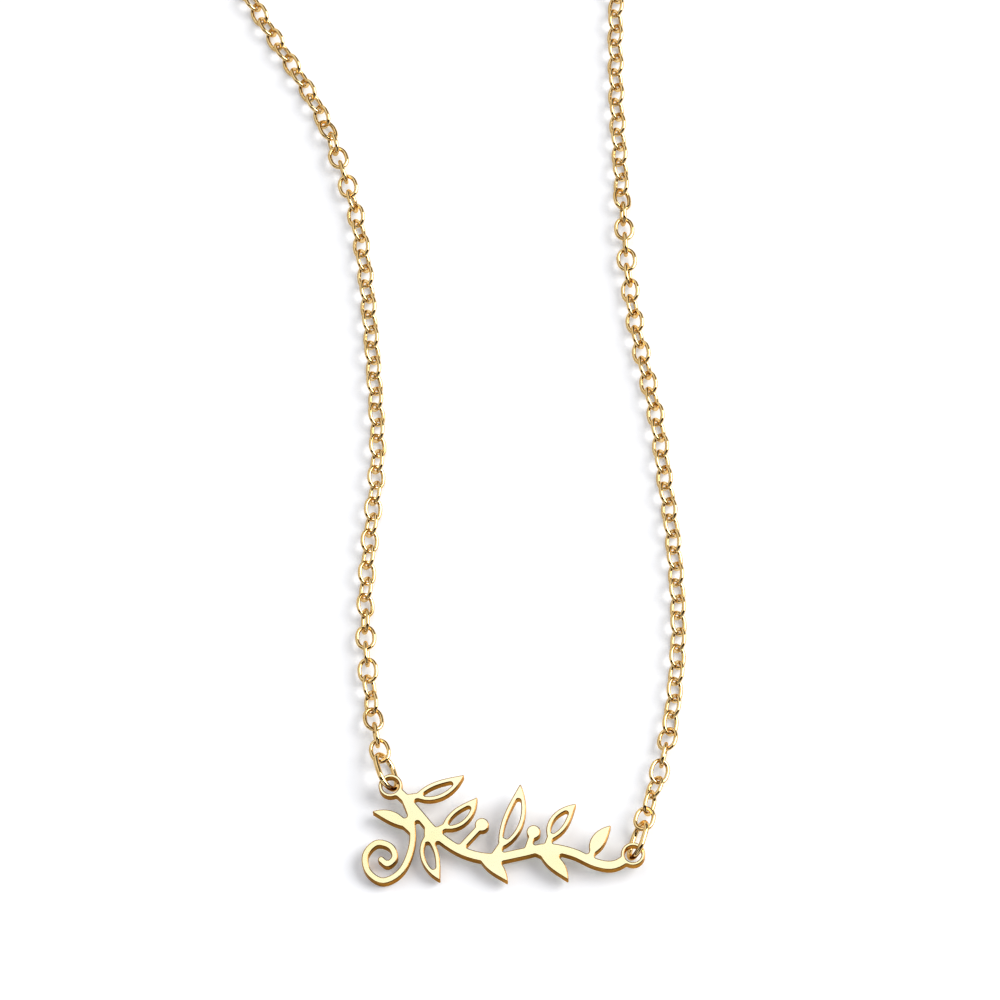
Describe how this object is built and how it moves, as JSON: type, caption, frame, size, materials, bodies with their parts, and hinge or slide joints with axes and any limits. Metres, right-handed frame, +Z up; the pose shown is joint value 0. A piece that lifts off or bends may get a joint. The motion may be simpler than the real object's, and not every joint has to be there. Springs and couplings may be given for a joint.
{
  "type": "nameplate necklace",
  "caption": "Fine cable-chain necklace lying flat, with a thin plate cut as a leafy sprig hung between two jump rings and a spring-ring clasp at the back.",
  "frame": {"origin": "middle of the necklace's outline, on the surface it lies on", "axes": "+X to the right as seen from the plate's side, +Y from the plate to the clasp along the loop, +Z up from the surface"},
  "size_m": [0.0712, 0.2022, 0.0034],
  "materials": {
    "nameplate": "polished, gold plated",
    "jump_ring_left": "polished, gold plated",
    "jump_ring_right": "polished, gold plated",
    "chain_left": "polished, gold plated",
    "chain_right": "polished, gold plated",
    "end_ring_left": "polished, gold plated",
    "end_ring_right": "polished, gold plated",
    "clasp": "polished, gold plated"
  },
  "bodies": {
    "root": {"nameplate": "nameplate", "jump_ring_left": "jump_ring_left", "jump_ring_right": "jump_ring_right", "chain_left": "chain_left", "chain_right": "chain_right", "end_ring_left": "end_ring_left", "end_ring_right": "end_ring_right", "clasp": "clasp"}
  },
  "joints": []
}
